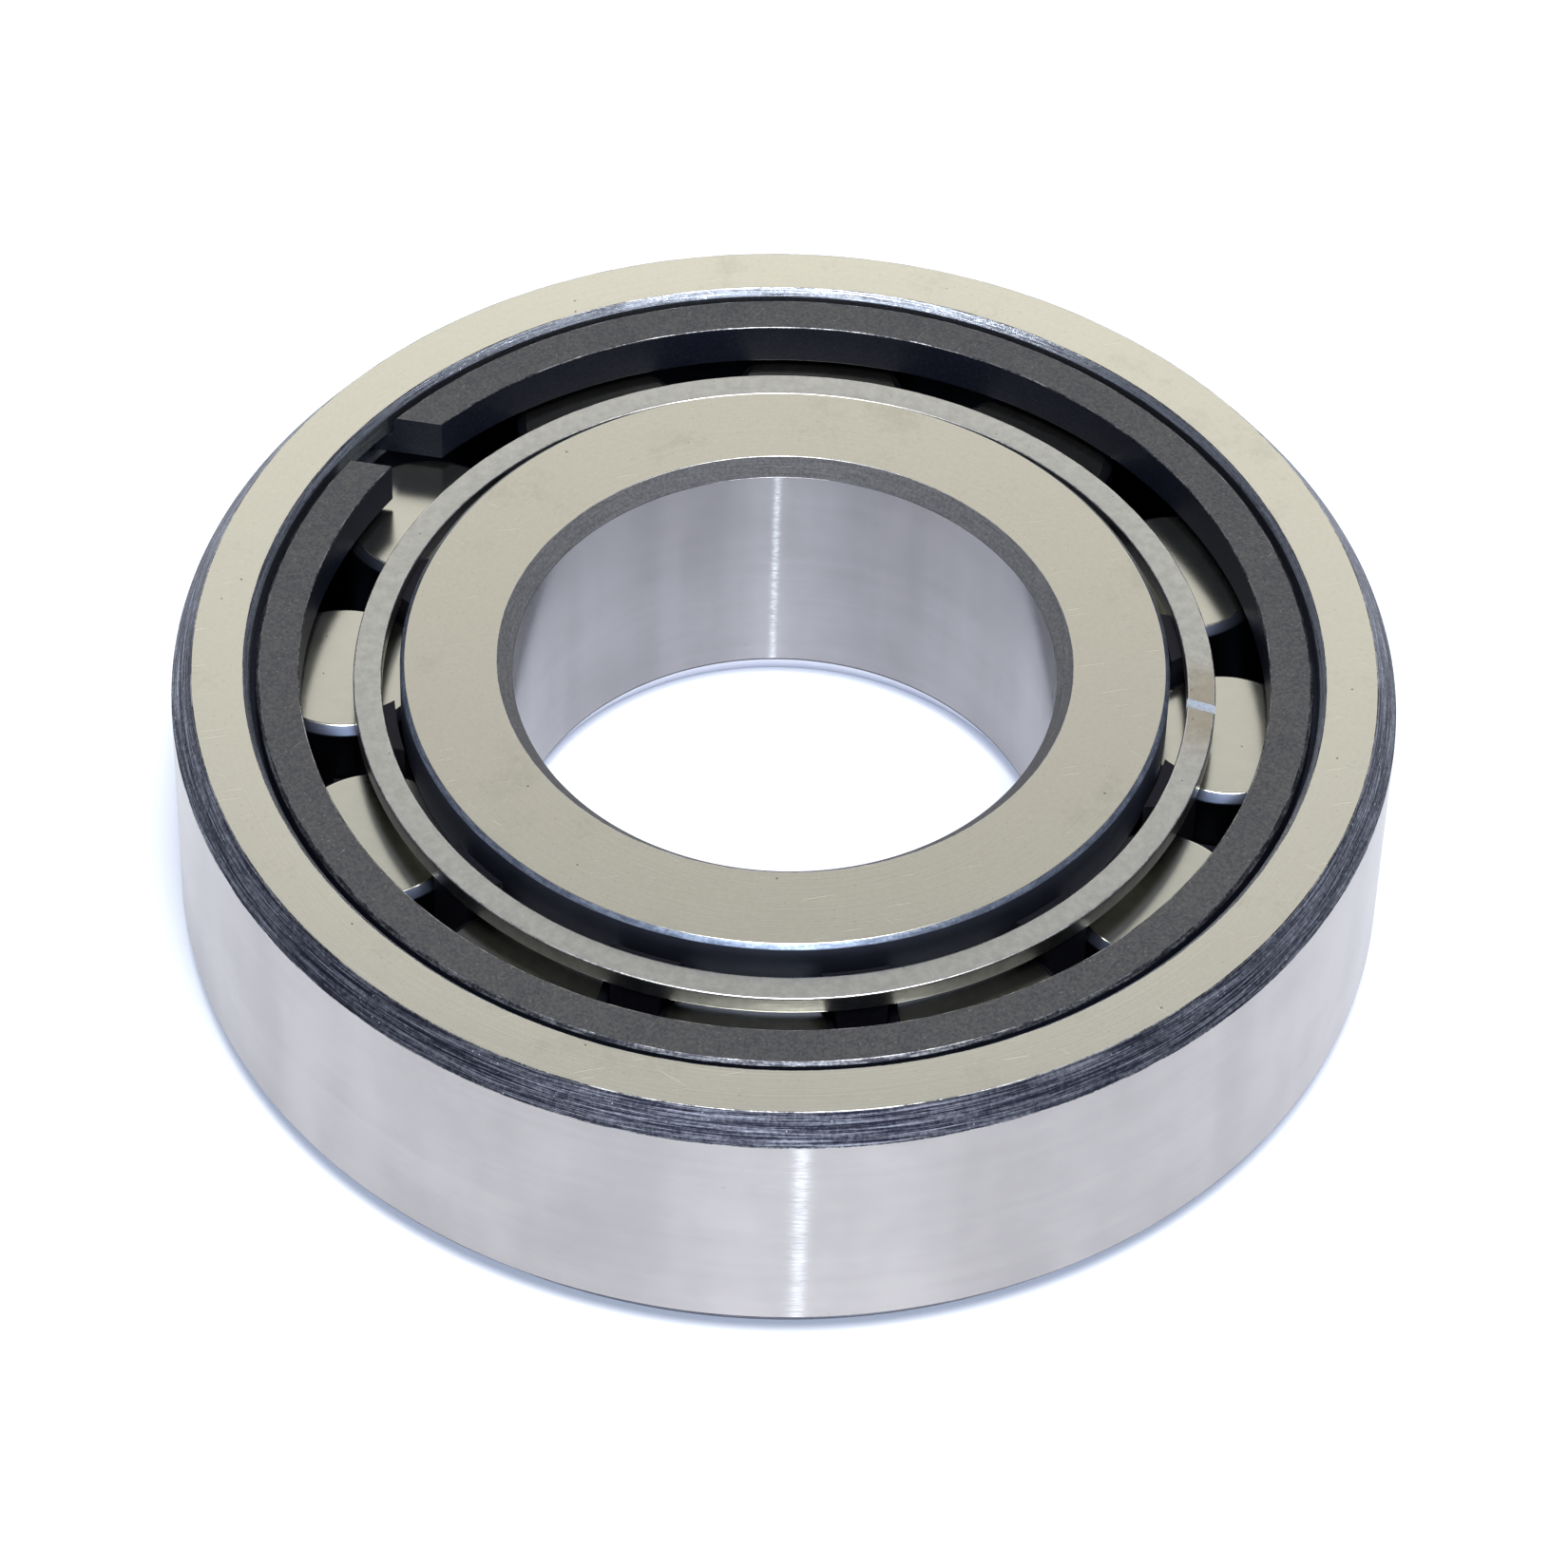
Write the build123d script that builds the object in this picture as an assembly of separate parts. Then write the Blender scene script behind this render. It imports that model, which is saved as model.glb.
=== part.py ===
# A cylindrical roller bearing, 40 mm bore x 90 mm outside x 23 mm wide, as separate pieces:
# outer ring, two black split snap rings in its bore, inner ring with two flanges, twelve
# rollers, and a retainer of twelve segments tied together by two split side rings.
# Origin at the centre of the bearing, +Z along the bore's axis, millimetres.
import os
from math import cos, radians, sin, tan

from build123d import *

# ---- driving dimensions ----
WIDTH = 23.0
BORE_R = 20.0
OUTSIDE_R = 45.0

ROLLERS = 12
ROLLER_R = 6.5
ROLLER_LENGTH = 14.0
ROLLER_CORNER = 0.6
FIRST_ROLLER_DEG = 26.5  # azimuth of roller_01, then every 30 degrees
RUNNING_GAP = 0.03  # radial, between a roller and each raceway

INNER_RACE_R = 26.2
FLANGE_R = 28.25
FLANGE_EDGE = 0.33  # chamfer at the flange's outer edge
FLANGE_PLAY = 0.05  # between a roller's end and the flange beside it
RELIEF_WIDTH, RELIEF_DEPTH = 0.5, 0.25  # grinding reliefs in the inner raceway's corners
BORE_CHAMFER = 1.15
BORE_CHAMFER_BELOW = 2.1  # height of the one at the other face, as wide as the first

OUTER_CHAMFER_R, OUTER_CHAMFER_Z = 1.5, 2.1
MOUTH_R, MOUTH_DEPTH = 39.7, 0.55  # chamfer at the outer ring's bore
SEAT_TOP, SEAT_BOTTOM, SEAT_R = 9.25, 7.55, 40.55  # groove for a snap ring

SNAP_R = 35.6  # snap ring's bore
SNAP_TOP, SNAP_BOTTOM = 11.1, 7.6
SNAP_FLAT_R = 38.55  # where the flat top ends and its bevel starts
SNAP_WALL_R, SNAP_BEVEL_Z = 38.8, 10.85
TONGUE_R, TONGUE_TOP = 40.45, 9.2
SNAP_WORN_EDGE = 0.15
SNAP_GAP_WIDTH = 5.1
SNAP_GAP_DEG, SNAP_GAP_SKEW = 143.0, 28.0

TIE_INNER_R, TIE_OUTER_R = 29.6, 31.7  # split side ring over the rollers' ends
TIE_BOTTOM, TIE_TOP = 8.35, 9.85
TIE_EDGE = 0.12
TIE_GAP_WIDTH = 0.8
TIE_GAP_DEG, TIE_GAP_SKEW = -3.6, -14.0

POCKET_PLAY = 0.15  # between a segment's concave flank and the roller
SEGMENT_LIP_R = 28.7  # inside of the shoulder that a side ring grips
SEGMENT_LIP_TOP = 9.1
SEGMENT_CORE_R = 27.0  # inside of the segment between the flanges
SEGMENT_BACK_R = 33.4  # outside of the segment's body
SEGMENT_BACK_TOP = 2.0
SEGMENT_EDGE = 0.25

# ---- worked out from them ----
TOP = WIDTH / 2
PITCH_R = INNER_RACE_R + RUNNING_GAP + ROLLER_R
OUTER_RACE_R = PITCH_R + ROLLER_R + RUNNING_GAP
STEP_DEG = 360.0 / ROLLERS
FLANGE_FACE = ROLLER_LENGTH / 2 + FLANGE_PLAY
POCKET_R = ROLLER_R + POCKET_PLAY


def polar(radius, degrees):
    return radius * cos(radians(degrees)), radius * sin(radians(degrees))


def turned(outline):
    """Solid of revolution about Z of a closed outline of (radius, height) points."""
    with BuildPart() as piece:
        with BuildSketch(Plane.XZ):
            with BuildLine():
                Polyline(*outline, close=True)
            make_face()
        revolve(axis=Axis.Z)
    return piece.part


def mirrored(half):
    """Whole outline from its upper half, listed from the outside inwards."""
    lower = [(r, -z) for r, z in reversed(half)]
    return half + lower


def outer_ring():
    upper = [
        (OUTSIDE_R, TOP - OUTER_CHAMFER_Z),
        (OUTSIDE_R - OUTER_CHAMFER_R, TOP),
        (MOUTH_R, TOP),
        (OUTER_RACE_R, TOP - MOUTH_DEPTH),
        (OUTER_RACE_R, SEAT_TOP),
        (SEAT_R, SEAT_TOP),
        (SEAT_R, SEAT_BOTTOM),
        (OUTER_RACE_R, SEAT_BOTTOM),
    ]
    return turned(mirrored(upper))


def inner_ring():
    relief_edge = FLANGE_FACE - RELIEF_WIDTH
    upper = [
        (INNER_RACE_R, relief_edge),
        (INNER_RACE_R - RELIEF_DEPTH, relief_edge),
        (INNER_RACE_R - RELIEF_DEPTH, FLANGE_FACE),
        (FLANGE_R, FLANGE_FACE),
        (FLANGE_R, TOP - FLANGE_EDGE),
        (FLANGE_R - FLANGE_EDGE, TOP),
        (BORE_R + BORE_CHAMFER, TOP),
        (BORE_R, TOP - BORE_CHAMFER),
    ]
    outline = mirrored(upper)
    outline[len(upper)] = (BORE_R, BORE_CHAMFER_BELOW - TOP)
    return turned(outline)


def gap_cutter(radius, degrees, skew, width, reach, side):
    """Box that splits a ring: width wide, its length skewed from the radius at that azimuth."""
    x, y = polar(radius, degrees)
    height = 2 * WIDTH
    box = Box(reach, width, height, align=(Align.CENTER, Align.CENTER, Align.CENTER))
    return Location((x, y, side * height / 2), (0, 0, degrees + skew)) * box


def snap_ring(side):
    upper = [
        (SNAP_R, SNAP_BOTTOM),
        (TONGUE_R, SNAP_BOTTOM),
        (TONGUE_R, TONGUE_TOP),
        (SNAP_WALL_R, TONGUE_TOP),
        (SNAP_WALL_R, SNAP_BEVEL_Z),
        (SNAP_FLAT_R, SNAP_TOP),
        (SNAP_R + SNAP_WORN_EDGE, SNAP_TOP),
        (SNAP_R, SNAP_TOP - SNAP_WORN_EDGE),
    ]
    ring = turned([(r, side * z) for r, z in upper])
    slot_length = 4 * (TONGUE_R - SNAP_R)
    return ring - gap_cutter(SNAP_R, side * SNAP_GAP_DEG, side * SNAP_GAP_SKEW, SNAP_GAP_WIDTH,
                             slot_length, side)


def side_ring(side):
    upper = [
        (TIE_INNER_R, TIE_BOTTOM),
        (TIE_OUTER_R, TIE_BOTTOM),
        (TIE_OUTER_R, TIE_TOP - TIE_EDGE),
        (TIE_OUTER_R - TIE_EDGE, TIE_TOP),
        (TIE_INNER_R + TIE_EDGE, TIE_TOP),
        (TIE_INNER_R, TIE_TOP - TIE_EDGE),
    ]
    ring = turned([(r, side * z) for r, z in upper])
    middle_r = (TIE_INNER_R + TIE_OUTER_R) / 2
    degrees = TIE_GAP_DEG if side > 0 else 180 + TIE_GAP_DEG
    slot_length = 3 * (TIE_OUTER_R - TIE_INNER_R)
    return ring - gap_cutter(middle_r, degrees, TIE_GAP_SKEW, TIE_GAP_WIDTH, slot_length, side)


def roller(number):
    x, y = polar(PITCH_R, FIRST_ROLLER_DEG + STEP_DEG * number)
    body = Cylinder(ROLLER_R, ROLLER_LENGTH)
    body = fillet(body.edges().filter_by(GeomType.CIRCLE), ROLLER_CORNER)
    return Location((x, y, 0)) * body


def sector(inner, outer, height):
    """Ring of a rectangular section, from -height to +height."""
    return Cylinder(outer, 2 * height) - Cylinder(inner, 2 * height)


def segment(number):
    """One retainer segment: hourglass between two rollers, stepped at both ends."""
    middle = FIRST_ROLLER_DEG + STEP_DEG * (number + 0.5)
    core = sector(SEGMENT_CORE_R, SEGMENT_BACK_R, SEGMENT_BACK_TOP)
    post = sector(SEGMENT_LIP_R, TIE_OUTER_R - SEGMENT_EDGE, TIE_BOTTOM)
    lip = sector(SEGMENT_LIP_R, TIE_INNER_R - RUNNING_GAP, SEGMENT_LIP_TOP)
    stack = core + post + lip
    half_angle = radians(STEP_DEG / 2)
    reach = OUTSIDE_R
    with BuildPart() as wedge:
        with BuildSketch():
            with BuildLine():
                Polyline((0, 0), (reach, -reach * tan(half_angle)), (reach, reach * tan(half_angle)),
                         close=True)
            make_face()
        extrude(amount=WIDTH / 2, both=True)
    piece = stack & wedge.part
    for turn in (-STEP_DEG / 2, STEP_DEG / 2):
        x, y = polar(PITCH_R, turn)
        piece -= Location((x, y, 0)) * Cylinder(POCKET_R, 2 * WIDTH)
    return Rotation(0, 0, middle) * piece


def write(name, shape):
    solids = shape.solids()
    if len(solids) != 1:
        print(name, "has", len(solids), "solids")
    shape = solids[0]
    shape.label = name
    export_step(shape, os.path.join("parts", name + ".step"))


os.makedirs("parts", exist_ok=True)
write("outer_ring", outer_ring())
write("inner_ring", inner_ring())
for place, side in (("top", 1), ("bottom", -1)):
    write("snap_ring_" + place, snap_ring(side))
    write("side_ring_" + place, side_ring(side))
for number in range(ROLLERS):
    write("roller_%02d" % (number + 1), roller(number))
    write("segment_%02d" % (number + 1), segment(number))
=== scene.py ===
"""A cylindrical roller bearing on a white table, with every ring, roller and segment finished."""
import math
import random

import bpy
from mathutils import Matrix, Vector


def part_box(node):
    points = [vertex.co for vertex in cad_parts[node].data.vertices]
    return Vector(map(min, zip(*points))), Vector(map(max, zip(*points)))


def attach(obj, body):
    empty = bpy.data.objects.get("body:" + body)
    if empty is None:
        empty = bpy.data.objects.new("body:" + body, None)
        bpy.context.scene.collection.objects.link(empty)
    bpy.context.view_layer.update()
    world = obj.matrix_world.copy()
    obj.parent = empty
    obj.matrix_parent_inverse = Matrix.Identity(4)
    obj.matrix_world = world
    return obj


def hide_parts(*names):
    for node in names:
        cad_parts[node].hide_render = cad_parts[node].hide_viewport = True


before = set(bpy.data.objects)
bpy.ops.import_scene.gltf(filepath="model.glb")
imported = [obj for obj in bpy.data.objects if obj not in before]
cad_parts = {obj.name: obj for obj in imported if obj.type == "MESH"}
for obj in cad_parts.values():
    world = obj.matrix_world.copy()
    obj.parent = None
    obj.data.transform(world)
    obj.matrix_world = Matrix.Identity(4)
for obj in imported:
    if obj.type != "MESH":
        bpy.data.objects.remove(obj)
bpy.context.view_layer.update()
MM = 0.001

# ---- sizes in millimetres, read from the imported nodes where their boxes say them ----


def reach(node):
    """Outer radius, lowest and highest point of a node that goes round the bearing's axis."""
    low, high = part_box(node)
    return high.x / MM, low.z / MM, high.z / MM


OUTSIDE_R, BOTTOM, TOP = reach("outer_ring")
FLANGE_R = reach("inner_ring")[0]
TONGUE_R, SNAP_BOTTOM, SNAP_TOP = reach("snap_ring_top")
TIE_OUTER_R, TIE_BOTTOM, TIE_TOP = reach("side_ring_top")
ROLLER_NODES = sorted(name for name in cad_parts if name.startswith("roller_"))
SEGMENT_NODES = sorted(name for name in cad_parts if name.startswith("segment_"))
roller_low, roller_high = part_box(ROLLER_NODES[0])
ROLLER_R = (roller_high.x - roller_low.x) / 2 / MM
ROLLER_HALF = roller_high.z / MM
PITCH_R = (roller_high + roller_low).xy.length / 2 / MM

# ---- sizes inside those boxes ----
RUNNING_GAP = 0.03
OUTER_RACE_R = PITCH_R + ROLLER_R + RUNNING_GAP
INNER_RACE_R = PITCH_R - ROLLER_R - RUNNING_GAP
BORE_R = 20.0
BORE_CHAMFER, BORE_CHAMFER_BELOW = 1.15, 2.1
FLANGE_EDGE = 0.33
FLANGE_FACE = ROLLER_HALF + 0.05
RELIEF_WIDTH, RELIEF_DEPTH = 0.5, 0.25
OUTER_CHAMFER_R, OUTER_CHAMFER_Z = 1.5, 2.1
MOUTH_R, MOUTH_DEPTH = 39.7, 0.55
SEAT_TOP, SEAT_BOTTOM, SEAT_R = 9.25, 7.55, 40.55
ROLLER_CORNER = 0.6
SNAP_R = 35.6
SNAP_FLAT_R, SNAP_WALL_R, SNAP_BEVEL_Z, TONGUE_TOP = 38.55, 38.8, 10.85, 9.2
SNAP_GAP_WIDTH, SNAP_GAP_DEG, SNAP_GAP_SKEW = 5.1, 143.0, 28.0
TIE_INNER_R = 29.6
TIE_GAP_WIDTH, TIE_GAP_DEG, TIE_GAP_SKEW = 0.8, -3.6, -14.0

# ---- mesh steps ----
AROUND = 384  # round a ring
ROLLER_AROUND = 128  # round a roller
ROUNDING_STEPS = 3  # round a softened corner
ROUNDING_REACH = 0.45  # of an edge that the rounding of one corner may take at most
FLAT_WEIGHT = 80  # how much more the large faces count in the shading normals

# ---- looks ----
HEIGHT_WEIGHT = 2.3  # how much faster a turned texture changes with height than with radius
RIDGE_SHARE = 0.02  # of a ground wall that is ridge flanks
RIDGE_SLOPE = 0.916  # lean of those flanks, rise over run
RIDGE_ROUGHNESS = 0.15
ROLLER_TURN = 2.4  # radians between the marks of one roller and the next
TABLE_WIDTH = 6.0  # metres

# The light tent's two bright panels, in degrees: elevation, half angles to edge and core.
BACK_PANEL = 20.0, 35.0, 21.0
FRONT_PANEL = 36.0, 34.0, 12.0


# ---- shader maths ----


class Amount:
    """A number that varies over a surface. Its sums and products add Math nodes."""

    def __init__(self, finish, socket):
        self.finish, self.socket = finish, socket

    def __add__(self, other):
        return self.finish.math("ADD", self, other)

    def __radd__(self, other):
        return self.finish.math("ADD", other, self)

    def __sub__(self, other):
        return self.finish.math("SUBTRACT", self, other)

    def __rsub__(self, other):
        return self.finish.math("SUBTRACT", other, self)

    def __mul__(self, other):
        return self.finish.math("MULTIPLY", self, other)

    def __rmul__(self, other):
        return self.finish.math("MULTIPLY", other, self)

    def __truediv__(self, other):
        return self.finish.math("DIVIDE", self, other)

    def __pow__(self, other):
        return self.finish.math("POWER", self, other)


class Graph:
    """A node tree. Sockets are fed by name, or by number where names repeat."""

    def __init__(self, tree):
        self.tree = tree
        tree.nodes.clear()

    def node(self, kind, settings, **sockets):
        made = self.tree.nodes.new(kind)
        for key, value in settings.items():
            setattr(made, key, value)
        for key, value in sockets.items():
            self.feed(made, key.replace("_", " "), value)
        return made

    def feed(self, node, key, value):
        target = node.inputs[int(key)] if key.isdigit() else node.inputs[key]
        value = value.socket if isinstance(value, Amount) else value
        if isinstance(value, bpy.types.NodeSocket):
            self.tree.links.new(value, target)
        else:
            target.default_value = value

    def math(self, operation, *values):
        made = self.node("ShaderNodeMath", {"operation": operation})
        for index, value in enumerate(values):
            self.feed(made, str(index), value)
        return Amount(self, made.outputs[0])

    def between(self, value, low, high):
        """0 at low, 1 at high, smooth between."""
        made = self.node("ShaderNodeMapRange", {"interpolation_type": "SMOOTHSTEP"}, Value=value,
                         From_Min=low, From_Max=high)
        return Amount(self, made.outputs["Result"])

    def blend(self, mask, first, second):
        """Colour that goes from first to second as mask goes from 0 to 1."""
        made = self.node("ShaderNodeMix", {"data_type": "RGBA"})
        self.feed(made, "0", mask)
        for socket, colour in (("6", first), ("7", second)):
            self.feed(made, socket, colour)
        return made.outputs[2]


class Finish(Graph):
    """A material under construction: one Principled shader and what feeds it."""

    def __init__(self, name, **constants):
        self.material = bpy.data.materials.new(name)
        self.material.use_nodes = True
        super().__init__(self.material.node_tree)
        self.shader = self.node("ShaderNodeBsdfPrincipled", {}, **constants)
        self.output = self.node("ShaderNodeOutputMaterial", {}, Surface=self.shader.outputs[0])

    def place(self):
        """Where a point is on its own piece, in millimetres: x, y, z and distance from the axis."""
        if not hasattr(self, "_place"):
            where = self.node("ShaderNodeTexCoord", {}).outputs["Object"]
            split = self.node("ShaderNodeSeparateXYZ", {}, Vector=where)
            x, y, z = (Amount(self, split.outputs[axis]) / MM for axis in "XYZ")
            self._place = x, y, z, (x * x + y * y) ** 0.5
        return self._place

    def round_vector(self, around, across):
        """Texture place that changes slowly round the axis and fast across it."""
        x, y, z, r = self.place()
        made = self.node("ShaderNodeCombineXYZ", {}, X=x / r * around, Y=y / r * around,
                         Z=(r + z * HEIGHT_WEIGHT) * across)
        return made.outputs[0]

    def mottle(self, size, detail=3.0, roughness=0.55, seed=0.0):
        """Even blotches about size millimetres across, from 0 to 1."""
        x, y, z, r = self.place()
        where = self.node("ShaderNodeCombineXYZ", {}, X=x + seed, Y=y, Z=z)
        made = self.node("ShaderNodeTexNoise", {}, Vector=where.outputs[0], Scale=1 / size,
                         Detail=detail, Roughness=roughness)
        return Amount(self, made.outputs["Fac"])

    def lines(self, width, length, detail=4.0, roughness=0.6):
        """Streaks that run round the axis, about width by length millimetres, from 0 to 1."""
        vector = self.round_vector(OUTSIDE_R / length, 1 / width)
        made = self.node("ShaderNodeTexNoise", {}, Vector=vector, Scale=1.0, Detail=detail,
                         Roughness=roughness)
        return Amount(self, made.outputs["Fac"])

    def specks(self, spacing, size, share, seed=0.0):
        """Dots about size millimetres across, in that share of cells of that spacing, from 0 to 1."""
        x, y, z, r = self.place()
        where = self.node("ShaderNodeCombineXYZ", {}, X=x + seed, Y=y, Z=z)
        made = self.node("ShaderNodeTexVoronoi", {}, Vector=where.outputs[0], Scale=1 / spacing)
        cell = self.node("ShaderNodeSeparateColor", {}, Color=made.outputs["Color"]).outputs["Red"]
        rim = size / spacing / 2
        inside = 1 - self.between(made.outputs["Distance"], 0.6 * rim, rim)
        return inside * self.math("GREATER_THAN", cell, 1 - share)

    def scratches(self, heading, width, length, rarity, seed):
        """Straight fine scratches at a heading in degrees, from 0 to 1. Rarity near 1 leaves few."""
        x, y, z, r = self.place()
        c, s = direction(heading)
        where = self.node("ShaderNodeCombineXYZ", {}, X=(x * c + y * s) / length,
                          Y=(y * c - x * s + z) / width, Z=seed)
        made = self.node("ShaderNodeTexNoise", {}, Vector=where.outputs[0], Scale=1.0, Detail=1.0)
        return self.between(made.outputs["Fac"], rarity, rarity + 0.04)

    def upright_bands(self, count, seed):
        """Painted reflection: soft light and dark bands that stand along the axis, about count of them
        round the ring.
        """
        x, y, z, r = self.place()
        where = self.node("ShaderNodeCombineXYZ", {}, X=x / r * count / 6, Y=y / r * count / 6,
                          Z=z * 0.02 + seed)
        made = self.node("ShaderNodeTexNoise", {}, Vector=where.outputs[0], Scale=1.0, Detail=2.0)
        return Amount(self, made.outputs["Fac"])

    def ridge_glints(self):
        """A small share of the wall is flanks of grinding ridges that lean upwards.

        They show a lamp as a narrow upright line, as lines ground round a cylinder do."""
        normal = self.node("ShaderNodeNewGeometry", {}).outputs["Normal"]
        leaning = self.node("ShaderNodeVectorMath", {"operation": "ADD"})
        self.feed(leaning, "0", normal)
        self.feed(leaning, "1", (0.0, 0.0, RIDGE_SLOPE))
        unit = self.node("ShaderNodeVectorMath", {"operation": "NORMALIZE"})
        self.feed(unit, "0", leaning.outputs[0])
        flank = self.node("ShaderNodeBsdfPrincipled", {}, Base_Color=rgb(0.95, 0.97, 1.0),
                          Metallic=1.0, Roughness=RIDGE_ROUGHNESS, Anisotropic=1.0,
                          Anisotropic_Rotation=0.25, Normal=unit.outputs[0])
        broken = self.between(self.lines(0.12, 1.2, detail=3.0), 0.30, 0.70) * (2 * RIDGE_SHARE)
        mixed = self.node("ShaderNodeMixShader", {})
        for index, value in enumerate((broken, self.shader.outputs[0], flank.outputs[0])):
            self.feed(mixed, str(index), value)
        self.feed(self.output, "Surface", mixed.outputs[0])

    def relief(self, height, depth):
        """Bump of depth millimetres where height goes from 0 to 1."""
        made = self.node("ShaderNodeBump", {}, Height=height, Distance=depth * MM, Strength=1.0)
        self.feed(self.shader, "Normal", made.outputs[0])

    def colour(self, value):
        self.feed(self.shader, "Base Color", value)

    def roughness(self, value):
        self.feed(self.shader, "Roughness", value)


def rgb(red, green, blue):
    return (red, green, blue, 1.0)


def shade(colour, factor):
    """The colour made lighter or darker."""
    return rgb(*(min(1.0, part * factor) for part in colour[:3]))


# ---- finishes ----


def ground_face(name, bright, dull):
    """Flat ring face off a surface grinder: pale, cloudy, with faint arcs, stains and a few scratches."""
    finish = Finish(name, Metallic=1.0)
    cloud = finish.mottle(3.0, detail=5.0, roughness=0.65, seed=3.0)
    arcs = finish.lines(0.14, 25.0)
    grain = finish.mottle(0.30, detail=3.0, roughness=0.7, seed=13.0)
    even = finish.blend(cloud * 0.45 + arcs * 0.25 + finish.between(grain, 0.30, 0.70) * 0.30, dull, bright)
    stain = finish.between(finish.mottle(7.0, detail=6.0, roughness=0.72, seed=21.0), 0.54, 0.70)
    stained = finish.blend(stain * 0.20, even, shade(dull, 0.6))
    dust = finish.specks(0.45, 0.14, 0.25, 17.0)
    dusted = finish.blend(dust * 0.30, stained, shade(dull, 0.45))
    pits = finish.specks(1.3, 0.24, 0.12)
    pitted = finish.blend(pits * 0.7, dusted, shade(dull, 0.25))
    marks = finish.scratches(14.0, 0.12, 5.0, 0.73, 5.0) + finish.scratches(-35.0, 0.11, 4.0, 0.75, 8.0)
    finish.colour(finish.blend(marks * 0.55, pitted, shade(bright, 1.4)))
    finish.roughness(0.20 + 0.07 * cloud + 0.03 * arcs)
    finish.relief(arcs * 0.5 + cloud * 0.3 - marks * 0.4 - pits * 0.8, 0.005)
    return finish.material


def ground_wall(name, bright, dull, roughness):
    """Cylindrical wall off a centreless grinder: grinding lines run round it, and soft upright bands of
    painted reflection stand on it.
    """
    finish = Finish(name, Metallic=1.0, Anisotropic=1.0, Anisotropic_Rotation=0.25)
    streaks = finish.lines(0.08, 40.0)
    belts = finish.lines(2.5, 50.0, detail=2.0)
    cloud = finish.mottle(9.0, detail=4.0, seed=31.0)
    # painted reflection: upright light and dark bands mixed into the wall's colour
    bands = finish.upright_bands(36, 4.0)
    even = finish.between(streaks * 0.06 + belts * 0.12 + bands * 0.40 + cloud * 0.42, 0.36, 0.64)
    pits = finish.specks(1.3, 0.20, 0.16, 7.0)
    finish.colour(finish.blend(pits * 0.45, finish.blend(even, dull, bright), shade(dull, 0.4)))
    finish.roughness(roughness + 0.04 * (streaks - 0.5))
    finish.relief(streaks, 0.0015)
    finish.ridge_glints()
    return finish.material


def tool_marked(name, bright, dark, worn_from, worn_to):
    """Chamfer turned and left dark from hardening: tool lines rubbed bright in long dashes."""
    finish = Finish(name, Metallic=1.0, Anisotropic=0.5, Anisotropic_Rotation=0.25)
    streaks = finish.lines(0.12, 7.0, detail=6.0, roughness=0.75)
    patches = finish.mottle(0.35, detail=4.0, roughness=0.75)
    worn = finish.between(streaks * 0.78 + patches * 0.22, worn_from, worn_to)
    nicks = finish.specks(0.45, 0.16, 0.16, 2.0)
    bare = finish.math("MAXIMUM", worn, nicks * 0.7)
    finish.colour(finish.blend(bare, dark, bright))
    finish.roughness(0.44 - 0.20 * bare)
    finish.relief(streaks + nicks * 0.4, 0.03)
    return finish.material


def matt_scale(name, light, dark):
    """Chamfer with its matt grey scale left on, speckled."""
    finish = Finish(name, Specular_IOR_Level=0.1)
    streaks = finish.lines(0.12, 6.0, detail=5.0, roughness=0.7)
    grain = finish.mottle(0.22, detail=4.0, roughness=0.7)
    finish.colour(finish.blend(finish.between(streaks * 0.5 + grain * 0.5, 0.35, 0.68), dark, light))
    finish.roughness(0.55)
    finish.relief(streaks + grain, 0.015)
    return finish.material


def polished(name, bright, dull, roughness):
    """Lapped surface with the faintest lines."""
    finish = Finish(name, Metallic=1.0)
    streaks = finish.lines(0.15, 12.0)
    cloud = finish.mottle(2.5)
    finish.colour(finish.blend(cloud * 0.6 + streaks * 0.4, dull, bright))
    finish.roughness(roughness + 0.05 * cloud)
    finish.relief(streaks, 0.0015)
    return finish.material


def rubbed_edge(name, bright, dull, worn_from=0.36, worn_to=0.60):
    """Narrow worn edge: bright metal broken by darker nicks. A higher range leaves more of it dull."""
    finish = Finish(name, Metallic=1.0)
    grain = finish.mottle(0.25, detail=4.0, roughness=0.7)
    worn = finish.between(grain * 0.4 + finish.lines(0.2, 2.5) * 0.6, worn_from, worn_to)
    finish.colour(finish.blend(worn, dull, bright))
    finish.roughness(0.22 + 0.2 * grain)
    finish.relief(grain, 0.01)
    return finish.material


def black_oxide(name, light, dark, gloss):
    """Blackened spring steel: matt, speckled, rubbed a little lighter in places."""
    finish = Finish(name, Specular_IOR_Level=gloss)
    grain = finish.mottle(0.22, detail=3.0, roughness=0.7)
    rubbed = finish.mottle(4.0, detail=5.0, seed=9.0)
    even = finish.blend(rubbed * 0.35 + finish.between(grain, 0.32, 0.68) * 0.65, dark, light)
    dust = finish.specks(0.40, 0.14, 0.30, 3.0)
    marks = finish.scratches(55.0, 0.10, 3.0, 0.76, 2.0) + finish.scratches(20.0, 0.10, 4.0, 0.77, 6.0)
    finish.colour(finish.blend(dust * 0.4 + marks * 0.45, even, shade(light, 3.5)))
    finish.roughness(0.38 + 0.16 * grain)
    finish.relief(grain, 0.012)
    return finish.material


def ground_end(name, bright, dull):
    """Roller's end: pale, faintly cloudy, with a few handling specks."""
    finish = Finish(name, Metallic=1.0)
    cloud = finish.mottle(1.8, detail=5.0, roughness=0.65)
    pits = finish.specks(1.1, 0.20, 0.12, 4.0)
    finish.colour(finish.blend(pits * 0.6, finish.blend(cloud, dull, bright), shade(dull, 0.35)))
    finish.roughness(0.16 + 0.06 * cloud)
    finish.relief(cloud - pits * 0.6, 0.004)
    return finish.material


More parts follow.
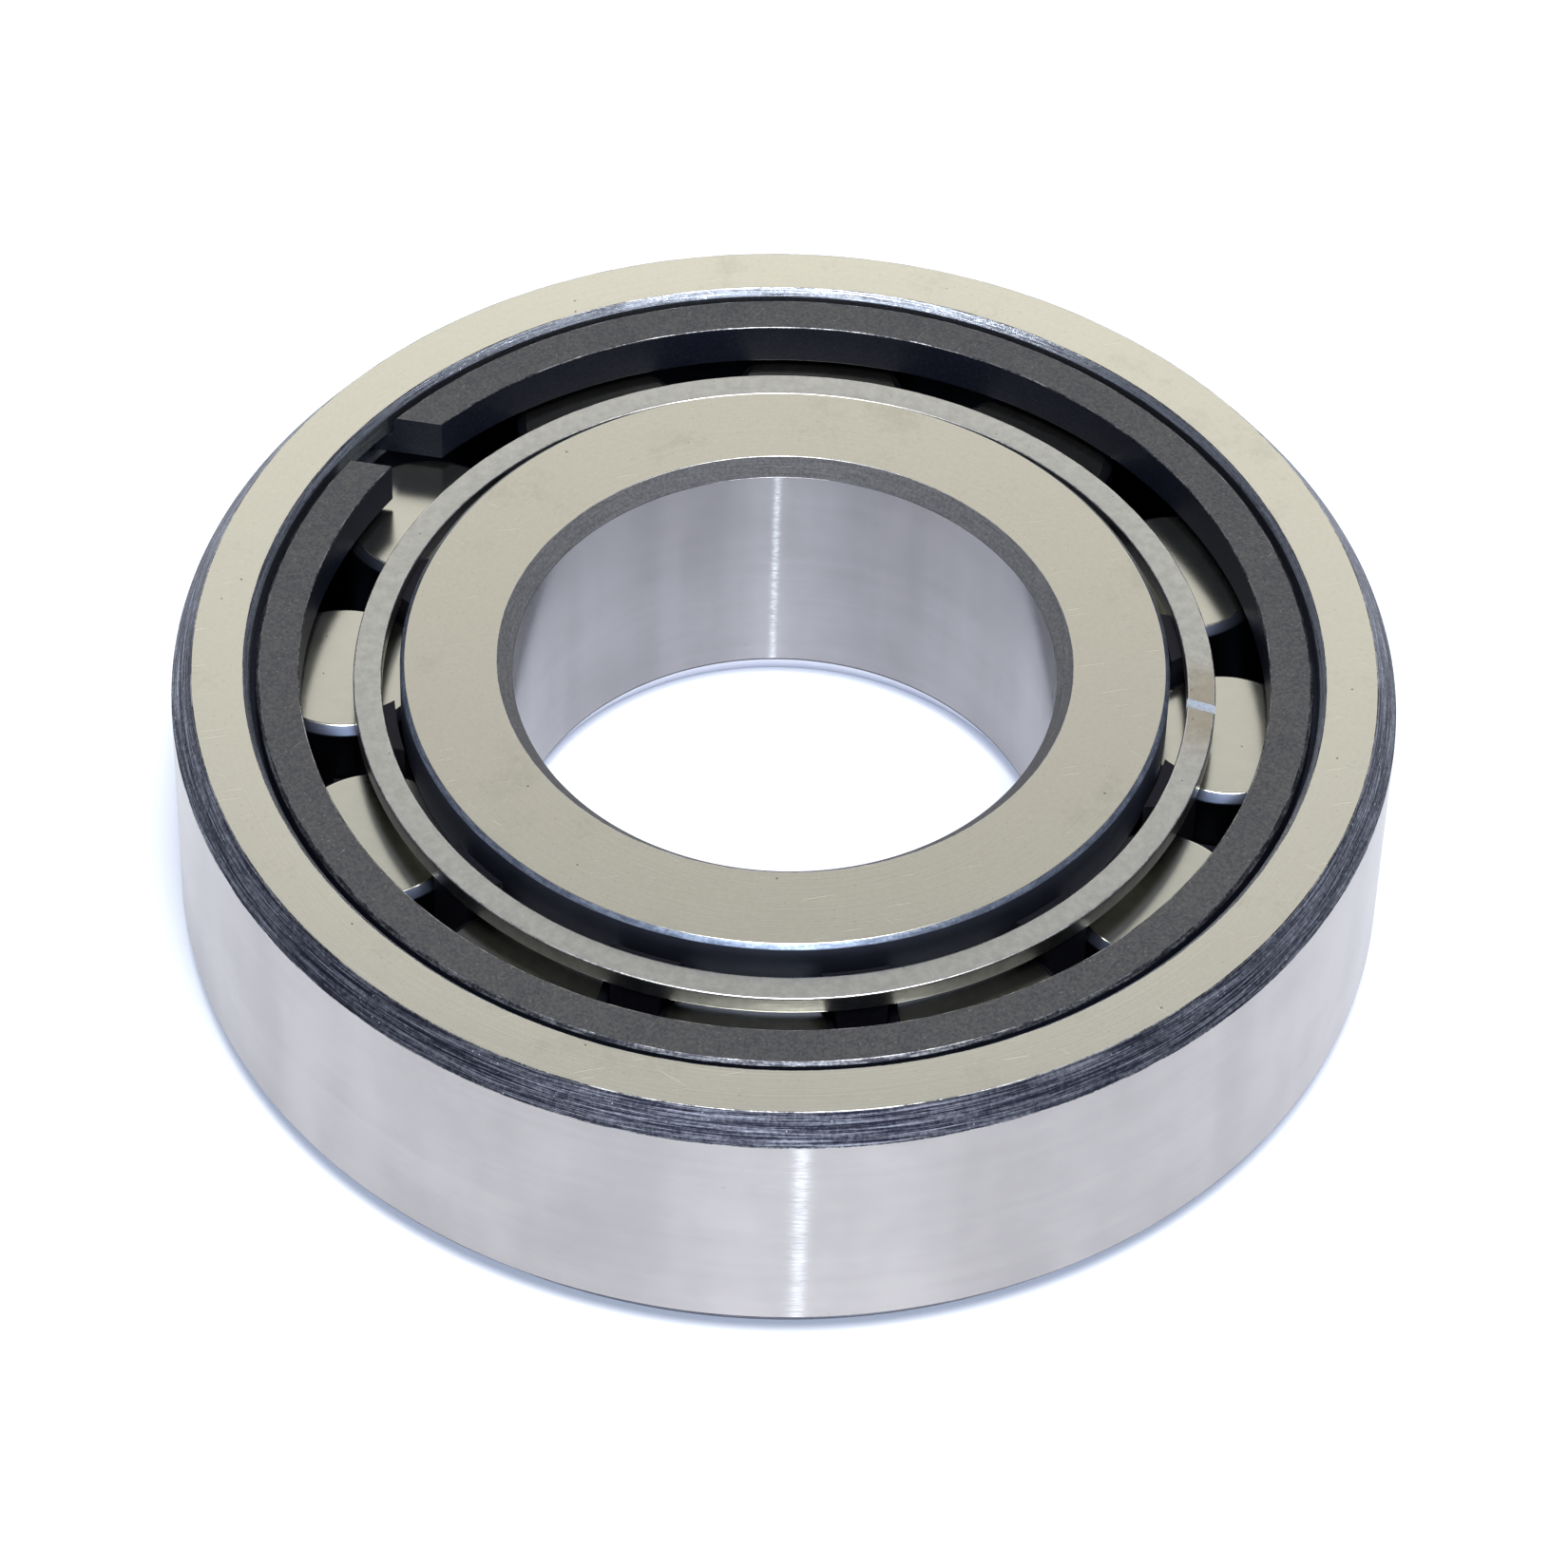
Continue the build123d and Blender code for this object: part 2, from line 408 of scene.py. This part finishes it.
def side_ring_steel(name):
    """Bright strip with a straw-coloured heat tint either side of its gap."""
    finish = Finish(name, Metallic=1.0)
    x, y, z, r = finish.place()
    gap_x, gap_y = (part * TIE_OUTER_R for part in direction(TIE_GAP_DEG))
    away = ((x - gap_x) ** 2.0 + (y - gap_y) ** 2.0) ** 0.5
    cloud = finish.mottle(0.9, detail=5.0, roughness=0.7)
    tint = 1 - finish.between(away + 3.0 * (cloud - 0.5), 2.0, 6.0)
    base = finish.blend(finish.between(cloud, 0.3, 0.7), rgb(0.40, 0.40, 0.385), rgb(0.50, 0.50, 0.48))
    tinted = finish.blend(tint * 0.6, base, rgb(0.33, 0.28, 0.20))
    pits = finish.specks(0.8, 0.20, 0.18, 6.0)
    finish.colour(finish.blend(pits * 0.6, tinted, rgb(0.10, 0.10, 0.10)))
    finish.roughness(0.24 + 0.12 * cloud)
    finish.relief(cloud + finish.lines(0.1, 20.0), 0.006)
    return finish.material


def segment_black(name):
    """Blackened retainer steel, darker than real black: partly its own colour, partly painted shade of the
    deep gaps between rollers.
    """
    finish = Finish(name, Specular_IOR_Level=0.15)
    grain = finish.mottle(0.4)
    # colour near zero: painted shade of the deep gaps, on top of the retainer's own black
    finish.colour(finish.blend(grain, rgb(0.002, 0.002, 0.004), rgb(0.007, 0.007, 0.011)))
    finish.roughness(0.45 + 0.2 * grain)
    finish.relief(grain, 0.01)
    return finish.material


def table_white(name):
    """Smooth white board, faintly cool in the shade."""
    finish = Finish(name, Roughness=0.8, Specular_IOR_Level=0.1,
                    Emission_Color=rgb(0.64, 0.75, 1.0), Emission_Strength=0.34)
    cloud = finish.mottle(60.0)
    finish.colour(finish.blend(cloud, rgb(0.68, 0.69, 0.715), rgb(0.70, 0.71, 0.73)))
    return finish.material


# ---- outlines and meshes ----


def direction(degrees):
    return math.cos(math.radians(degrees)), math.sin(math.radians(degrees))


def softened(outline, radius):
    """The closed outline with each corner rounded.

    A corner may carry its own radius as a fourth value and the finish of its rounding as a fifth."""
    rounded = []
    count = len(outline)
    for index in range(count):
        before, here, after = outline[index - 1], outline[index], outline[(index + 1) % count]
        corner = Vector(here[:2])
        back, ahead = Vector(before[:2]) - corner, Vector(after[:2]) - corner
        turn = back.angle(ahead)
        own = here[3] if len(here) > 3 else radius
        cut = own / math.tan(turn / 2)
        cut = min(cut, ROUNDING_REACH * back.length, ROUNDING_REACH * ahead.length)
        if turn > math.radians(179) or own == 0:
            rounded.append((corner.x, corner.y, here[2]))
            continue
        rim = here[4] if len(here) > 4 else here[2]
        start, end = corner + back.normalized() * cut, corner + ahead.normalized() * cut
        for step in range(ROUNDING_STEPS + 1):
            t = step / ROUNDING_STEPS
            point = start * (1 - t) ** 2 + corner * 2 * t * (1 - t) + end * t ** 2
            rounded.append((point.x, point.y, here[2] if step == ROUNDING_STEPS else rim))
    return rounded


def mirrored(upper):
    """Whole outline from its upper half. Each stretch keeps its finish on the lower side."""
    lower = []
    for index in range(len(upper) - 1, -1, -1):
        point = upper[index]
        stretch = upper[index - 1][2] if index > 0 else point[2]
        lower.append((point[0], -point[1], stretch) + tuple(point[3:]))
    return upper + lower


def finish_mesh(name, vertices, faces, marks, finishes):
    mesh = bpy.data.meshes.new(name)
    mesh.from_pydata([Vector(v) * MM for v in vertices], [], faces)
    for material in finishes:
        mesh.materials.append(material)
    mesh.polygons.foreach_set("material_index", marks)
    mesh.polygons.foreach_set("use_smooth", [True] * len(faces))
    mesh.update()
    piece = bpy.data.objects.new(name, mesh)
    bpy.context.scene.collection.objects.link(piece)
    weighted = piece.modifiers.new("even_shading", "WEIGHTED_NORMAL")
    weighted.weight = FLAT_WEIGHT
    weighted.keep_sharp = True
    return piece


def turned(outline, around, closed):
    """Vertices, faces and face finishes of an outline of (radius, height, finish) points turned whole."""
    count = len(outline)
    turns = [direction(360.0 * step / around) for step in range(around)]
    vertices = [(r * c, r * s, z) for c, s in turns for r, z, mark in outline]
    faces, marks = [], []
    for step in range(around):
        ahead = (step + 1) % around
        for index in range(count if closed else count - 1):
            after = (index + 1) % count
            faces.append((step * count + index, ahead * count + index, ahead * count + after,
                          step * count + after))
            marks.append(outline[index][2])
    return vertices, faces, marks


def whole_ring(name, outline, finishes):
    """Ring turned whole from a closed outline."""
    return finish_mesh(name, *turned(outline, AROUND, True), finishes)


def turned_bar(name, outline, finishes, end_finish):
    """Solid bar from an outline that runs from its lower end's rim up to its upper end's rim."""
    count = len(outline)
    vertices, faces, marks = turned(outline, ROLLER_AROUND, False)
    faces.append(tuple(step * count for step in reversed(range(ROLLER_AROUND))))
    faces.append(tuple(step * count + count - 1 for step in range(ROLLER_AROUND)))
    return finish_mesh(name, vertices, faces, marks + [end_finish, end_finish], finishes)


def split_ring(name, outline, finishes, gap, end_finish):
    """Ring turned from an outline and cut by a parallel slot.

    The gap is the slot's width, azimuth and skew, and the radius that it is measured at."""
    width, azimuth, skew, slot_r = gap
    slot = azimuth + skew
    middle = -slot_r * math.sin(math.radians(skew))

    def side_angle(radius, offset):
        return slot + math.degrees(math.asin((middle + offset) / radius))

    count = len(outline)
    vertices = []
    for step in range(AROUND + 1):
        share = step / AROUND
        for r, z, mark in outline:
            start, end = side_angle(r, width / 2), side_angle(r, -width / 2) + 360.0
            c, s = direction(start + (end - start) * share)
            vertices.append((r * c, r * s, z))
    faces, marks = [], []
    for step in range(AROUND):
        for index in range(count):
            after = (index + 1) % count
            low = step * count
            faces.append((low + index, low + count + index, low + count + after, low + after))
            marks.append(outline[index][2])
    faces.append(tuple(range(count)))
    faces.append(tuple(AROUND * count + index for index in reversed(range(count))))
    marks += [end_finish, end_finish]
    piece = finish_mesh(name, vertices, faces, marks, finishes)
    for polygon in piece.data.polygons[-2:]:
        polygon.use_smooth = False
    return piece


def turned_stretch(start, end, mark, grooves, depth, seed):
    """Points from start to end with tool marks of uneven depth. The end point isn't included."""
    random.seed(seed)
    a, b = Vector(start), Vector(end)
    along = b - a
    inward = Vector((-along.y, along.x)).normalized()
    points = [(a.x, a.y, mark)]
    for groove in range(1, grooves):
        cut = depth * random.uniform(0.2, 1.0) if groove % 2 else 0.0
        point = a + along * (groove + random.uniform(-0.2, 0.2)) / grooves + inward * cut
        points.append((point.x, point.y, mark, 0))
    return points


# ---- the pieces ----


def stand_for(piece, node, body):
    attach(piece, body)
    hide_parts(node)


def outer_ring():
    wall, chamfer, face, mouth, race, rim = range(6)
    finishes = [
        ground_wall("outer_wall_ground", rgb(0.462, 0.434, 0.420), rgb(0.378, 0.356, 0.346), 0.24),
        tool_marked("outer_chamfer_turned", rgb(0.58, 0.60, 0.69), rgb(0.018, 0.020, 0.034), 0.44, 0.74),
        ground_face("outer_face_ground", rgb(0.65, 0.635, 0.555), rgb(0.58, 0.565, 0.49)),
        tool_marked("mouth_turned", rgb(0.66, 0.71, 0.80), rgb(0.014, 0.016, 0.028), 0.36, 0.62),
        # outer race coloured much darker than the inner race: painted shade deep between the rollers
        polished("outer_race_lapped_painted_shade", rgb(0.12, 0.125, 0.15), rgb(0.09, 0.095, 0.12), 0.2),
        rubbed_edge("outer_ring_edge", rgb(0.56, 0.56, 0.55), rgb(0.05, 0.05, 0.06), 0.42, 0.62),
    ]
    low, high = (OUTSIDE_R, TOP - OUTER_CHAMFER_Z), (OUTSIDE_R - OUTER_CHAMFER_R, TOP)
    upper = turned_stretch(low, high, chamfer, grooves=14, depth=0.035, seed=11)
    upper[0] = (low[0], low[1], chamfer, 0.12, rim)
    upper += [
        (high[0], high[1], face, 0.10, rim),
        (MOUTH_R, TOP, mouth, 0.08, rim),
        (OUTER_RACE_R, TOP - MOUTH_DEPTH, mouth),
        (OUTER_RACE_R, SEAT_TOP, mouth),
        (SEAT_R, SEAT_TOP, mouth),
        (SEAT_R, SEAT_BOTTOM, mouth),
        (OUTER_RACE_R, SEAT_BOTTOM, race),
    ]
    outline = mirrored(upper)
    outline[-1] = (OUTSIDE_R, BOTTOM + OUTER_CHAMFER_Z, wall, 0.9, chamfer)  # closes the outline
    piece = whole_ring("outer_ring_finished", softened(outline, 0.1), finishes)
    stand_for(piece, "outer_ring", "outer")


def inner_ring():
    bore, chamfer, face, flange, bevel, race, rim, lower_chamfer = range(8)
    finishes = [
        # bore wall coloured darker than the outside wall: painted shade inside the bore
        ground_wall("bore_wall_ground_painted_shade", rgb(0.330, 0.320, 0.330), rgb(0.268, 0.260, 0.268), 0.24),
        matt_scale("bore_chamfer_turned", rgb(0.135, 0.135, 0.140), rgb(0.058, 0.058, 0.062)),
        ground_face("inner_face_ground", rgb(0.54, 0.525, 0.46), rgb(0.47, 0.455, 0.395)),
        # flange wall coloured dark navy: painted shade in the recess beside the side ring
        polished("flange_wall_ground_painted_shade", rgb(0.085, 0.093, 0.135), rgb(0.05, 0.058, 0.088), 0.5),
        rubbed_edge("flange_bevel_ground", rgb(0.50, 0.57, 0.68), rgb(0.22, 0.26, 0.34), 0.40, 0.66),
        polished("inner_race_lapped", rgb(0.50, 0.50, 0.52), rgb(0.44, 0.44, 0.46), 0.22),
        rubbed_edge("inner_ring_edge", rgb(0.60, 0.60, 0.60), rgb(0.22, 0.22, 0.24)),
        polished("lower_bore_chamfer_turned", rgb(0.72, 0.72, 0.78), rgb(0.60, 0.61, 0.68), 0.3),
    ]
    relief_edge = FLANGE_FACE - RELIEF_WIDTH
    upper = [
        (INNER_RACE_R, relief_edge, race),
        (INNER_RACE_R - RELIEF_DEPTH, relief_edge, race),
        (INNER_RACE_R - RELIEF_DEPTH, FLANGE_FACE, race),
        (FLANGE_R, FLANGE_FACE, flange),
        (FLANGE_R, TOP - FLANGE_EDGE, bevel),
        (FLANGE_R - FLANGE_EDGE, TOP, face),
        (BORE_R + BORE_CHAMFER, TOP, chamfer, 0.07, rim),
        (BORE_R, TOP - BORE_CHAMFER, bore),
    ]
    outline = mirrored(upper)
    outline[len(upper)] = (BORE_R, BOTTOM + BORE_CHAMFER_BELOW, lower_chamfer, 0.4, chamfer)
    piece = whole_ring("inner_ring_finished", softened(outline, 0.08), finishes)
    stand_for(piece, "inner_ring", "inner")


def snap_ring(place, side, finishes):
    wall, flat, edge = range(3)
    outline = [
        (SNAP_R, SNAP_BOTTOM, wall),
        (TONGUE_R, SNAP_BOTTOM, wall),
        (TONGUE_R, TONGUE_TOP, wall),
        (SNAP_WALL_R, TONGUE_TOP, wall),
        (SNAP_WALL_R, SNAP_BEVEL_Z, edge, 0.12),
        (SNAP_FLAT_R, SNAP_TOP, flat, 0.10, edge),
        (SNAP_R, SNAP_TOP, wall, 0.12, edge),
    ]
    soft = [(r, side * z, mark) for r, z, mark in softened(outline, 0.12)]
    gap = SNAP_GAP_WIDTH, side * SNAP_GAP_DEG, side * SNAP_GAP_SKEW, SNAP_R
    name = "snap_ring_" + place
    piece = split_ring(name + "_finished", soft[::side], finishes, gap, wall)
    stand_for(piece, name, "outer")


def side_ring(place, side, finishes):
    steel, edge, end = range(3)
    outline = [
        (TIE_INNER_R, TIE_BOTTOM, steel),
        (TIE_OUTER_R, TIE_BOTTOM, steel),
        (TIE_OUTER_R, TIE_TOP, steel, 0.14, edge),
        (TIE_INNER_R, TIE_TOP, steel, 0.14, edge),
    ]
    soft = [(r, side * z, mark) for r, z, mark in softened(outline, 0.14)]
    azimuth = TIE_GAP_DEG if side > 0 else 180 + TIE_GAP_DEG
    gap = TIE_GAP_WIDTH, azimuth, TIE_GAP_SKEW, (TIE_INNER_R + TIE_OUTER_R) / 2
    name = "side_ring_" + place
    piece = split_ring(name + "_finished", soft[::side], finishes, gap, end)
    stand_for(piece, name, "retainer")


def split_rings():
    """A snap ring and a side ring at each end."""
    spring_finishes = [
        # the darker copy, on all but the snap rings' top and edge, is painted shade
        black_oxide("black_oxide_painted_shade", rgb(0.012, 0.014, 0.024), rgb(0.004, 0.005, 0.010), 0.12),
        black_oxide("black_oxide", rgb(0.062, 0.061, 0.057), rgb(0.012, 0.014, 0.022), 0.4),
        rubbed_edge("spring_edge_rubbed", rgb(0.46, 0.46, 0.47), rgb(0.05, 0.05, 0.06), 0.42, 0.70),
    ]
    strip_finishes = [
        side_ring_steel("side_ring_bright"),
        rubbed_edge("strip_edge_rubbed", rgb(0.66, 0.66, 0.64), rgb(0.30, 0.30, 0.30)),
        # near-white bluish ends of the side rings' gaps: painted highlight of the lit end face
        matt_scale("strip_end_sheared_painted_highlight", rgb(0.90, 0.95, 1.0), rgb(0.50, 0.56, 0.68)),
    ]
    for place, side in (("top", 1), ("bottom", -1)):
        snap_ring(place, side, spring_finishes)
        side_ring(place, side, strip_finishes)


def rollers():
    flank, corner, end = range(3)
    finishes = [
        # flank and corner coloured near black and dark blue: painted shade between the rollers
        polished("roller_flank_lapped_painted_shade", rgb(0.06, 0.065, 0.085), rgb(0.04, 0.045, 0.06), 0.28),
        polished("roller_corner_tumbled_painted_shade", rgb(0.15, 0.17, 0.23), rgb(0.08, 0.095, 0.14), 0.32),
        ground_end("roller_end_ground", rgb(0.56, 0.555, 0.49), rgb(0.47, 0.465, 0.41)),
    ]
    upper = [
        (ROLLER_R, ROLLER_HALF - ROLLER_CORNER, corner, 0.2),
        (ROLLER_R - ROLLER_CORNER, ROLLER_HALF, end, 0.2),
        (0.0, ROLLER_HALF, end, 0),  # aims the end's rounding, then goes
    ]
    outline = mirrored(upper)
    outline[-1] = outline[-1][:2] + (flank,) + outline[-1][3:]
    outline = [point for point in softened(outline, 0.2) if point[0] > 0]
    lowest = next(index for index, point in enumerate(outline) if point[1] < 0)
    outline = outline[lowest:] + outline[:lowest]
    for number, node in enumerate(ROLLER_NODES):
        low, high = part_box(node)
        piece = turned_bar(node + "_finished", outline, finishes, end)
        piece.location = (low + high) / 2
        piece.rotation_euler.z = ROLLER_TURN * number
        stand_for(piece, node, node)


def segments():
    black = segment_black("segment_blackened_painted_shade")
    for node in SEGMENT_NODES:
        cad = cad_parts[node]
        cad.data.materials.clear()
        cad.data.materials.append(black)


def table():
    bpy.ops.mesh.primitive_plane_add(size=TABLE_WIDTH, location=(0, 0, BOTTOM * MM))
    board = bpy.context.object
    board.name = "table"
    board.data.materials.append(table_white("white_board"))


# ---- camera and light ----


def camera():
    distance, elevation, roll, lens = 0.525, 47.02, 1.84, 161.7
    aim = Vector((0.2, -1.9, 0.0)) * MM
    c, s = direction(elevation)
    stand = Vector((0, -distance * c, distance * s))
    lookout = bpy.data.cameras.new("studio_camera")
    lookout.lens = lens
    lookout.sensor_width = 36.0
    lookout.clip_start = 0.01
    holder = bpy.data.objects.new("studio_camera", lookout)
    bpy.context.scene.collection.objects.link(holder)
    turn = (aim - stand).to_track_quat("-Z", "Y").to_matrix().to_4x4()
    holder.matrix_world = Matrix.Translation(stand) @ turn @ Matrix.Rotation(math.radians(roll), 4, "Z")
    bpy.context.scene.camera = holder


def lamp(name, place, size, watts, colour=(1, 1, 1)):
    light = bpy.data.lights.new(name, "AREA")
    light.shape = "ELLIPSE"
    light.size, light.size_y = size
    light.energy = watts
    light.color = colour
    holder = bpy.data.objects.new(name, light)
    bpy.context.scene.collection.objects.link(holder)
    holder.location = place
    holder.rotation_euler = (-Vector(place)).to_track_quat("-Z", "Y").to_euler()


def light_tent():
    """Cool dim tent with a broad warm panel behind the bearing and a smaller cool one in front."""
    world = bpy.data.worlds.new("light_tent")
    world.use_nodes = True
    tent = Graph(world.node_tree)
    toward = tent.node("ShaderNodeTexCoord", {}).outputs["Generated"]

    def panel(side, elevation, edge, core):
        c, s = direction(elevation)
        facing = tent.node("ShaderNodeVectorMath", {"operation": "DOT_PRODUCT"})
        tent.feed(facing, "0", toward)
        tent.feed(facing, "1", (0.0, side * c, s))
        return tent.between(facing.outputs["Value"], direction(edge)[0], direction(core)[0])

    walls = tent.blend(panel(1, *BACK_PANEL), rgb(0.225, 0.238, 0.280), rgb(1.45, 1.43, 1.35))
    colour = tent.blend(panel(-1, *FRONT_PANEL), walls, rgb(0.80, 0.94, 1.20))
    background = tent.node("ShaderNodeBackground", {}, Color=colour, Strength=1.0)
    tent.node("ShaderNodeOutputWorld", {}, Surface=background.outputs[0])
    bpy.context.scene.world = world


def studio():
    light_tent()
    lamp("strip_light", (0.075, -0.80, 0.60), (0.03, 0.30), 0.85, (0.86, 0.93, 1.0))
    lamp("soft_box", (0.08, -0.35, 1.15), (0.6, 0.6), 20.0)
    view = bpy.context.scene.view_settings
    view.view_transform = "Standard"
    view.look = "None"


outer_ring()
inner_ring()
split_rings()
rollers()
segments()
table()
camera()
studio()
